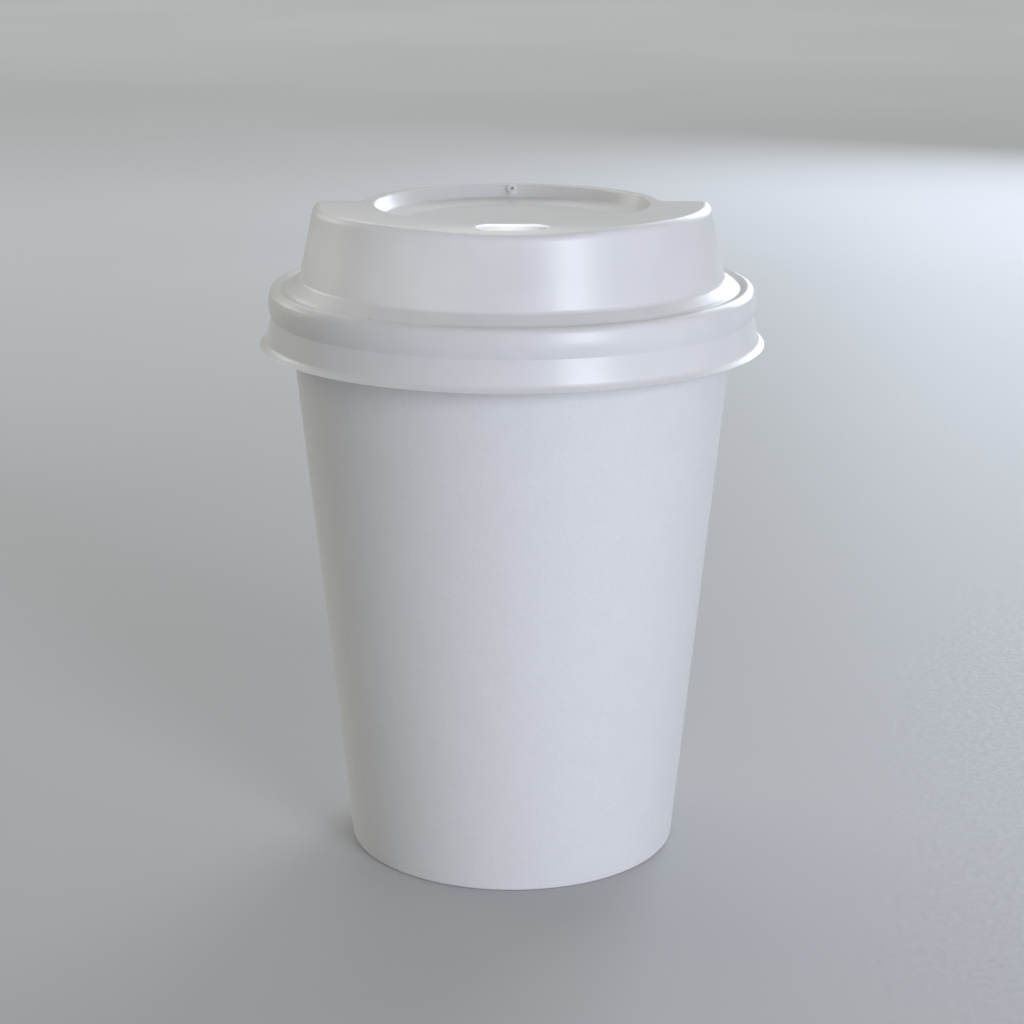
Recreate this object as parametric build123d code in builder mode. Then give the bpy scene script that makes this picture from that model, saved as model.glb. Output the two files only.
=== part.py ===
"""Paper hot cup, 12 oz size, with a thermoformed travel lid pressed on its rim.

Frame: millimetres, +Z up, origin at the centre of the ring that the cup stands on.
-Y is the front, where the sip slot is, and the side seam is at the back, at +Y.
"""
from build123d import *
from math import acos, asin, atan2, cos, degrees, radians, sin, tan
import os

# ---- driving sizes of the paper cup ----
cup_height = 109.6        # table to the top of the rolled rim
rim_radius = 45.0         # outside of the rolled rim
foot_radius = 31.95       # outside of the wall, carried down to the table
board = 0.45              # paperboard, coated on the inside
curl_diameter = 2.9       # outside of the rolled rim's section
curl_sweep = 300          # degrees that the rim is rolled through
hem_height = 7.0          # how far the hem reaches back up inside
hem_round = 0.3           # mid-board radius of the hem's two folds
base_recess = 9.5         # table to the upper face of the base disc
base_bend = 1.2           # mid-board radius where the base disc turns down
glue_gap = 0.05           # glue line on each side of the base's skirt
seam_width = 7.0          # overlap of the glued side seam
seam_step = 0.3           # how far the pressed overlap stands out

# ---- driving sizes of the lid ----
lid_wall = 0.45           # formed sheet
rest_gap = 0.25           # free space between the rim's top and the lid's groove
pinch_clearance = 0.25    # radial, between the rim and the snap line
bead_clearance = 0.75     # radial, between the rim and the widest part of the bead
bead_rise = 0.5           # bead's crest above the groove
bead_round = 1.45         # outside radius of the bead's crest
bead_drop = 2.5           # from the groove down to the widest part of the bead
pinch_drop = 4.9          # from the groove down to the snap line
skirt_drop = 9.6          # from the groove down to the crease above the lip
skirt_flare = 1.1         # crease outside the snap line
lip_width = 1.1           # lip outside the crease
lip_drop = 0.8            # lip below the crease
crease_round = 1.1        # outside radius at the crease above the lip
pinch_round = 0.35        # the same at the snap line
groove_round = 0.4        # the same in the groove
ledge_round = 0.6         # the same at the ledge's outer edge
foot_round = 0.8          # the same at the dome's foot
ledge_step = 0.65         # ledge's outer edge, in from the groove and up from it
ledge_rise = 2.1          # from the groove up to the dome's foot
ledge_width = 2.85        # from the groove in to the dome's foot
dome_height = 15.7        # from the groove up to the middle of the crown
dome_draft = 12.2         # degrees that the dome's wall leans in
crown_edge_radius = 1.5   # rounding of the crown's outer edge
crown_tilt = 0.35         # degrees that the crown leans back
front_bow = 45.0          # radius of the crown's fall, from the ring to the front edge
front_slope = 20.0        # degrees that this fall may reach
shoulder_slope = 7.4      # degrees, fall of the shoulder behind the middle line
shoulder_bend = 18.0      # radius of the bend into that fall
shoulder_width = 8.7      # from the crown's edge in to the corner of the ring
ring_width = 2.6          # top of the raised ring, from its corner in to the recess
ring_round = 1.2          # outside radius at the ring's corner
ring_flank = 35           # degrees from upright of the ring's outer flank
ring_sink = 0.03          # ring's top below the crown, so that it stands out only behind
recess_depth = 3.15       # from the crown down to the middle of the recess
recess_wall_depth = 2.25  # from the crown down to the foot of the recess's steep wall
recess_wall_draft = 37    # degrees from upright of that wall
recess_border = 4.2       # sloping border between the wall's foot and the flat floor
recess_edge_radius = 0.8  # rounding of the recess's mouth
recess_round = 1.0        # outside radius in the recess's two corners
slot_width = 12.9         # sip slot, from end to end
slot_depth = 6.0          # sip slot, from front to back
slot_land = 1.9           # from the recess to the sip slot
vent_diameter = 0.6       # pinhole
vent_boss_diameter = 2.6  # foot of the boss round the pinhole
vent_boss_height = 0.8    # how far it stands out of the recess's wall
vent_boss_draft = 25      # degrees that its side leans in

# ---- places that follow from those sizes, in the (radius, height) plane ----
half_hem = (2 * board + 2 * glue_gap) / 2
hem_middle = Vector(foot_radius - half_hem - board / 2, 0)
curl_radius = (curl_diameter - board) / 2
curl_center = Vector(rim_radius - curl_diameter / 2, cup_height - curl_diameter / 2)
between = curl_center - hem_middle
wall_lean = atan2(between.X, between.Y) - asin((curl_radius + half_hem) / between.length)
up_wall = Vector(sin(wall_lean), cos(wall_lean))
out_of_wall = Vector(cos(wall_lean), -sin(wall_lean))
wall_top = curl_center - out_of_wall * curl_radius


def beside_hem(distance, level):
    """Point at this height on the line that runs up the wall, this far out of the hem's middle."""
    start = hem_middle + out_of_wall * distance
    return start + up_wall * ((level - start.Y) / up_wall.Y)


def make_cup_wall():
    """Hem, wall, side seam and rolled rim, all of one sheet of board."""
    strip_foot = beside_hem(half_hem, hem_round + board)
    strip_top = wall_top - up_wall * (curl_diameter / 2 + board)
    strip_out = out_of_wall * (board / 2 + seam_step)
    with BuildPart() as seam:
        with BuildSketch(Plane.XZ):
            with BuildLine():
                Polyline(strip_foot, strip_foot + strip_out, strip_top + strip_out, strip_top, close=True)
            make_face()
        revolve(axis=Axis.Z)
        Box(seam_width, rim_radius, 2 * cup_height,
            align=(Align.CENTER, Align.MIN, Align.CENTER), mode=Mode.INTERSECT)

    with BuildPart() as cup_wall:
        with BuildSketch(Plane.XZ):
            with BuildLine():
                FilletPolyline(beside_hem(-half_hem, hem_height), beside_hem(-half_hem, board / 2),
                               beside_hem(half_hem, board / 2), wall_top, radius=hem_round)
                CenterArc(curl_center, curl_radius, 180 - degrees(wall_lean), -curl_sweep)
            trace(line_width=board)
        revolve(axis=Axis.Z)
        add(seam.part)
    return cup_wall


def make_cup_base():
    """Round base with its skirt turned down into the hem."""
    disc_level = base_recess - board / 2
    skirt_foot_level = board + 2 * glue_gap
    with BuildPart() as cup_base:
        with BuildSketch(Plane.XZ):
            with BuildLine():
                FilletPolyline((0, disc_level), beside_hem(0, disc_level),
                               beside_hem(0, skirt_foot_level), radius=base_bend)
            trace(line_width=board)
        revolve(axis=Axis.Z)
    return cup_base


def tangent_angle(point, center, radius):
    """Angle, in degrees, where the line from an inner point touches the circle near its top."""
    away = point - center
    return degrees(atan2(away.Y, away.X) - acos(radius / away.length))


def on_circle(center, radius, angle):
    return center + Vector(cos(radians(angle)), sin(radians(angle))) * radius


# ---- places on the lid that follow from the cup's rim and those sizes ----
groove_level = cup_height + rest_gap + lid_wall
crown_level = groove_level + dome_height
pinch = Vector(rim_radius + pinch_clearance + lid_wall, groove_level - pinch_drop)
crease = Vector(pinch.X + skirt_flare, groove_level - skirt_drop)
lip = crease + Vector(lip_width, -lip_drop)
flank_middle = Vector(rim_radius + bead_clearance + lid_wall, groove_level - bead_drop)
flank = flank_middle - pinch
flank_radius = (flank.X ** 2 + flank.Y ** 2) / (2 * flank.X)
flank_center = flank_middle - Vector(flank_radius, 0)
bead_level = groove_level + bead_rise - bead_round
bead_turn = degrees(asin((bead_level - flank_center.Y) / (flank_radius - bead_round)))
bead_center = on_circle(flank_center, flank_radius - bead_round, bead_turn)
groove = Vector(bead_center.X - bead_round, groove_level)
ledge_edge = groove + Vector(-ledge_step, ledge_step)
dome_foot = groove + Vector(-ledge_width, ledge_rise)
crown_edge = dome_foot + Vector(-tan(radians(dome_draft)), 1) * (crown_level - dome_foot.Y)
ring_radius = crown_edge.X - shoulder_width
recess_radius = ring_radius - ring_width
recess_wall_foot = recess_radius - recess_wall_depth * tan(radians(recess_wall_draft))
recess_floor_radius = recess_wall_foot - recess_border
slot_center = recess_radius + slot_land + slot_depth / 2
spare = 5.0               # how far helper shapes run past what they cut
reach = rim_radius + spare
crown_normal = Vector(0, sin(radians(crown_tilt)), cos(radians(crown_tilt)))
crown_axis = Axis((0, 0, crown_level), crown_normal)
crown_side = Plane((0, 0, crown_level), x_dir=(1, 0, 0), z_dir=crown_normal.cross(Vector(1, 0, 0)) * -1)
crown_length = Plane((0, 0, crown_level), x_dir=crown_normal.cross(Vector(1, 0, 0)), z_dir=(1, 0, 0))
dome_top = crown_edge + Vector(-tan(radians(dome_draft)), 1) * spare


def grow_half(distance):
    """Offset the face being sketched and keep its half on the +radius side."""
    if distance:
        offset(amount=distance)
    split(bisect_by=Plane.YZ, keep=Keep.TOP)


def skirt_and_dome(inset):
    """Everything of the lid that is turned about its axis, as a solid without its crown."""
    flank_low = -degrees(asin(flank.Y / flank_radius))
    bead_high = tangent_angle(groove, bead_center, bead_round)
    with BuildPart() as turned:
        with BuildSketch(Plane.XZ) as section:
            with BuildLine():
                FilletPolyline(lip, crease, pinch, radius=crease_round)
                CenterArc(flank_center, flank_radius, flank_low, bead_turn - flank_low)
                CenterArc(bead_center, bead_round, bead_turn, bead_high - bead_turn)
                FilletPolyline(on_circle(bead_center, bead_round, bead_high), groove, ledge_edge,
                               dome_foot, dome_top, radius=(groove_round, ledge_round, foot_round))
                Polyline(dome_top, (-spare, dome_top.Y), (-spare, lip.Y - spare),
                         (lip.X, lip.Y - spare), lip)
            make_face()
            fillet(section.vertices().sort_by_distance(pinch)[0], radius=pinch_round)
            grow_half(-inset)
        revolve(axis=Axis.Z)
    return turned


def recess_cut(inset):
    """The bowl sunk into the crown, as the solid that it takes away."""
    mouth = (recess_radius + spare * tan(radians(recess_wall_draft)), spare)
    with BuildPart() as bowl:
        with BuildSketch(crown_side):
            with BuildLine():
                FilletPolyline((-spare, -recess_depth), (recess_floor_radius, -recess_depth),
                               (recess_wall_foot, -recess_wall_depth), mouth, radius=recess_round)
                Polyline(mouth, (-spare, spare), (-spare, -recess_depth))
            make_face()
            grow_half(inset)
        revolve(axis=crown_axis)
    return bowl


def recess_ring(inset):
    """The raised ring round the recess, as a solid frustum."""
    depth = dome_height / 2
    flank_foot = (ring_radius + depth * tan(radians(ring_flank)), -ring_sink - depth)
    with BuildPart() as ring:
        with BuildSketch(crown_side):
            with BuildLine():
                FilletPolyline((-spare, -ring_sink), (ring_radius, -ring_sink), flank_foot,
                               radius=ring_round)
                Polyline(flank_foot, (-spare, flank_foot[1]), (-spare, -ring_sink))
            make_face()
            grow_half(-inset)
        revolve(axis=crown_axis)
    return ring


def lid_solid(inset):
    """The lid as if it were full, with every outside face moved in by the inset."""
    turned = skirt_and_dome(inset)
    ring = recess_ring(inset)
    bowl = recess_cut(inset)
    with BuildPart() as solid:
        add(turned.part)
        with BuildSketch(crown_length):
            with BuildLine():
                flat = Line((0, -inset), (-ring_radius, -inset))
                bow = JernArc(flat @ 1, (-1, 0), front_bow - inset, front_slope)
                front = Line(bow @ 1, bow @ 1 + (bow % 1) * reach)
                bend = JernArc(flat @ 0, (1, 0), shoulder_bend - inset, -shoulder_slope)
                fall = Line(bend @ 1, bend @ 1 + (bend % 1) * reach)
                Polyline(fall @ 1, ((fall @ 1).X, -crown_level), ((front @ 1).X, -crown_level), front @ 1)
            make_face()
        extrude(amount=reach, both=True, mode=Mode.INTERSECT)
        edge = solid.edges().filter_by_position(Axis.Z, crown_level - dome_height / 3, crown_level)
        fillet(edge, radius=crown_edge_radius - inset)
        add(ring.part)
        add(bowl.part, mode=Mode.SUBTRACT)
        rim = solid.edges(Select.LAST).filter_by_position(
            Axis.Z, crown_level - recess_wall_depth / 2, crown_level + recess_wall_depth / 2)
        fillet(rim, radius=recess_edge_radius - inset)
    return solid


def make_lid():
    """Formed sheet: the full shape less the same shape moved in by the sheet's thickness."""
    full = lid_solid(0)
    core = lid_solid(lid_wall)
    with BuildPart() as lid:
        add(full.part)
        add(core.part, mode=Mode.SUBTRACT)
        split(bisect_by=Plane.XY.offset(lip.Y), keep=Keep.TOP)
        with BuildSketch(Plane.XY.offset(crown_level - recess_depth)):
            with Locations((0, -slot_center)):
                SlotOverall(slot_width, slot_depth)
        extrude(amount=dome_height, mode=Mode.SUBTRACT)

        # vent: a small boss on the back wall of the recess, with a pinhole through it
        tilt = radians(recess_wall_draft)
        vent_down = recess_wall_depth / 2
        vent_plane = Plane((0, recess_radius - vent_down * tan(tilt), crown_level - vent_down),
                           x_dir=(1, 0, 0), z_dir=(0, -cos(tilt), sin(tilt)))
        with BuildSketch(vent_plane.offset(-lid_wall / 2)):
            Circle(vent_boss_diameter / 2)
        extrude(amount=lid_wall / 2 + vent_boss_height, taper=vent_boss_draft)
        with BuildSketch(vent_plane):
            Circle(vent_diameter / 2)
        extrude(amount=lid_wall + vent_boss_height, both=True, mode=Mode.SUBTRACT)
    return lid


os.makedirs("parts", exist_ok=True)
cup_wall = make_cup_wall()
cup_wall.part.label = "cup_wall"
export_step(cup_wall.part, "parts/cup_wall.step")
cup_base = make_cup_base()
cup_base.part.label = "cup_base"
export_step(cup_base.part, "parts/cup_base.step")
lid = make_lid()
lid.part.label = "lid"
export_step(lid.part, "parts/lid.step")
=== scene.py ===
"""Looks of the paper hot cup and its travel lid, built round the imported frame. Metres, +Z up, -Y front."""
from math import cos, radians, sin

import bpy
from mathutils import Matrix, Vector

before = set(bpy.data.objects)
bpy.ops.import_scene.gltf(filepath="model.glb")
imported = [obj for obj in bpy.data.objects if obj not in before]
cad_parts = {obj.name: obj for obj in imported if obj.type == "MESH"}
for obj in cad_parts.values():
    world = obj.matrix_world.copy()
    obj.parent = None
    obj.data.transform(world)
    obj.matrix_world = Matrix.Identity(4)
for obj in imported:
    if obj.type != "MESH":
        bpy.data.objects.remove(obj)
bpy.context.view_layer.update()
MM = 0.001

# ---- looks ----
BOARD_SHADES = (0.815, 0.815, 0.815), (0.828, 0.828, 0.83)
BOARD_FIBRE = (0.6, 0.6, 0.6)
LID_SHADES = (0.78, 0.78, 0.785), (0.81, 0.81, 0.815)
FLOOR_SHADES = (0.50, 0.505, 0.515), (0.53, 0.535, 0.545)
FLOOR_RADIUS = 7
SKY_COLOUR = (1.0, 0.97, 0.89, 1)
SKY_STRENGTH = 0.29

# ---- camera: lens and sensor in mm, then where it stands and how far it looks down, in degrees ----
LENS = 83.3
SENSOR = 36
CAMERA_PLACE = (0, -0.44473, 0.18973)
CAMERA_DOWN = 15.6


# ---- node helpers ----
class Graph:
    """Short way to write a node material."""

    def __init__(self, name):
        self.material = bpy.data.materials.new(name)
        self.material.use_nodes = True
        self.tree = self.material.node_tree
        self.bsdf = self.tree.nodes["Principled BSDF"]
        self.coordinates = self.tree.nodes.new("ShaderNodeTexCoord").outputs["Object"]

    def link(self, source, target):
        self.tree.links.new(source, target)

    def noise(self, scale, detail=2.0, stretch=(1, 1, 1)):
        """Noise over object space; the scale is in cells per metre."""
        mapping = self.tree.nodes.new("ShaderNodeMapping")
        mapping.inputs["Scale"].default_value = stretch
        self.link(self.coordinates, mapping.inputs["Vector"])
        node = self.tree.nodes.new("ShaderNodeTexNoise")
        node.inputs["Scale"].default_value = scale
        node.inputs["Detail"].default_value = detail
        self.link(mapping.outputs["Vector"], node.inputs["Vector"])
        return node.outputs["Fac"]

    def span(self, value, low, high, to_low, to_high):
        """Maps low..high of a value to to_low..to_high."""
        node = self.tree.nodes.new("ShaderNodeMapRange")
        node.inputs["From Min"].default_value = low
        node.inputs["From Max"].default_value = high
        node.inputs["To Min"].default_value = to_low
        node.inputs["To Max"].default_value = to_high
        self.link(value, node.inputs["Value"])
        return node.outputs["Result"]

    def mix(self, factor, first, second):
        """Colour between two colours."""
        node = self.tree.nodes.new("ShaderNodeMix")
        node.data_type = "RGBA"
        self.link(factor, node.inputs["Factor"])
        for value, socket in ((first, node.inputs[6]), (second, node.inputs[7])):
            if isinstance(value, tuple):
                socket.default_value = (*value, 1)
            else:
                self.link(value, socket)
        return node.outputs[2]

    def bump(self, height, distance, after=None):
        """Normal raised by a height, on top of an earlier bump where there is one."""
        node = self.tree.nodes.new("ShaderNodeBump")
        node.inputs["Distance"].default_value = distance
        node.inputs["Strength"].default_value = 1.0
        self.link(height, node.inputs["Height"])
        if after is not None:
            self.link(after, node.inputs["Normal"])
        return node.outputs["Normal"]


def paper_material():
    """Uncoated white cup board: cloudy formation, fine fibre grain, matte."""
    g = Graph("cup_board")
    cloud = g.noise(260, 3)
    fibre = g.noise(2600, 2, (1, 1, 0.6))
    tint = g.mix(g.span(cloud, 0.35, 0.65, 0, 1), *BOARD_SHADES)
    grain = g.span(fibre, 0.3, 0.7, 0, 0.16)
    colour = g.mix(grain, tint, BOARD_FIBRE)
    g.link(colour, g.bsdf.inputs["Base Color"])
    g.link(g.span(cloud, 0.3, 0.7, 0.55, 0.68), g.bsdf.inputs["Roughness"])
    g.bsdf.inputs["Specular IOR Level"].default_value = 0.35
    first = g.bump(cloud, 0.01 * MM)
    g.link(g.bump(fibre, 0.02 * MM, after=first), g.bsdf.inputs["Normal"])
    return g.material


def lid_material():
    """White thermoformed plastic: satin, slightly translucent, faint waves from the mould."""
    g = Graph("lid_plastic")
    wave = g.noise(90, 2)
    grain = g.noise(3200, 2)
    colour = g.mix(g.span(wave, 0.35, 0.65, 0, 1), *LID_SHADES)
    g.link(colour, g.bsdf.inputs["Base Color"])
    g.link(g.span(grain, 0.3, 0.7, 0.28, 0.38), g.bsdf.inputs["Roughness"])
    g.bsdf.inputs["Specular IOR Level"].default_value = 0.5
    g.bsdf.inputs["Subsurface Weight"].default_value = 0.6
    g.bsdf.inputs["Subsurface Radius"].default_value = (1.0, 1.0, 1.0)
    g.bsdf.inputs["Subsurface Scale"].default_value = 0.7 * MM
    first = g.bump(wave, 0.08 * MM)
    g.link(g.bump(grain, 0.004 * MM, after=first), g.bsdf.inputs["Normal"])
    return g.material


def floor_material():
    """Plain pale floor, matte."""
    g = Graph("pale_floor")
    cloud = g.noise(3, 2)
    colour = g.mix(g.span(cloud, 0.3, 0.7, 0, 1), *FLOOR_SHADES)
    g.link(colour, g.bsdf.inputs["Base Color"])
    g.link(g.span(g.noise(700, 2), 0.3, 0.7, 0.5, 0.6), g.bsdf.inputs["Roughness"])
    g.bsdf.inputs["Specular IOR Level"].default_value = 0.25
    return g.material


def dress(node, material):
    """Gives a node of the frame its material."""
    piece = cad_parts[node]
    piece.data.materials.clear()
    piece.data.materials.append(material)


paper = paper_material()
plastic = lid_material()
dress("cup_wall", paper)
dress("cup_base", paper)
dress("lid", plastic)

# ---- floor and sky ----
bpy.ops.mesh.primitive_circle_add(vertices=96, radius=FLOOR_RADIUS, fill_type="NGON")
floor = bpy.context.object
floor.name = "floor"
floor.data.materials.append(floor_material())

world = bpy.data.worlds.new("studio")
bpy.context.scene.world = world
world.use_nodes = True
sky = world.node_tree.nodes["Background"]
sky.inputs["Color"].default_value = SKY_COLOUR
sky.inputs["Strength"].default_value = SKY_STRENGTH

# ---- lights ----
AIM = Vector((0, 0, 0.07))

# name, azimuth round the cup from the front (+ is right), elevation, distance, width, height, watts, colour
SOFT_BOXES = (
    ("key", 32, 10, 1.1, 0.36, 0.7, 8.2, (0.81, 0.855, 1.0)),
    ("back_right", 155, 17, 1.1, 0.5, 0.44, 4.1, (0.76, 0.85, 1.0)),
    ("back_left", -125, 17, 1.1, 0.6, 0.44, 2.0, (0.98, 1.0, 0.92)),
    ("window", -165, 36, 1.6, 0.5, 0.16, 0.5, (0.88, 0.94, 1.0)),
)

# name, place, the way its back faces, width, height, watts, colour: a wash over the floor behind the cup,
# then two glows inside the dome, for the daylight that comes through the thin plastic
PLACED_LIGHTS = (
    ("wash", (0, 2.5, 1.5), (0, 0, 1), 6.0, 2.4, 50, (0.95, 0.98, 1.0)),
    ("slot_glow", (0, -0.0335, 0.1205), (0, -0.6, -0.8), 0.012, 0.004, 0.0008, (0.92, 0.96, 1.0)),
    ("dome_glow", (-0.018, -0.018, 0.1155), (0.7, 0.7, 0), 0.034, 0.006, 0.005, (1.0, 1.0, 0.97)),
)


def add_light(name, place, back, width, height, watts, colour):
    """Rectangular area light whose back faces the given way."""
    data = bpy.data.lights.new(name, "AREA")
    data.shape = "RECTANGLE"
    data.size = width
    data.size_y = height
    data.energy = watts
    data.color = colour
    light = bpy.data.objects.new(name, data)
    bpy.context.scene.collection.objects.link(light)
    light.visible_camera = False
    light.location = place
    light.rotation_mode = "QUATERNION"
    light.rotation_quaternion = Vector(back).to_track_quat("Z", "Y")


for name, azimuth, elevation, distance, *rest in SOFT_BOXES:
    a, e = radians(azimuth), radians(elevation)
    outward = Vector((sin(a) * cos(e), -cos(a) * cos(e), sin(e)))
    add_light(name, AIM + outward * distance, outward, *rest)
for row in PLACED_LIGHTS:
    add_light(*row)

# ---- camera ----
camera_data = bpy.data.cameras.new("camera")
camera_data.lens = LENS
camera_data.sensor_width = SENSOR
camera = bpy.data.objects.new("camera", camera_data)
bpy.context.scene.collection.objects.link(camera)
camera.location = CAMERA_PLACE
camera.rotation_euler = (radians(90 - CAMERA_DOWN), 0, 0)
bpy.context.scene.camera = camera
bpy.context.scene.view_settings.view_transform = "Standard"
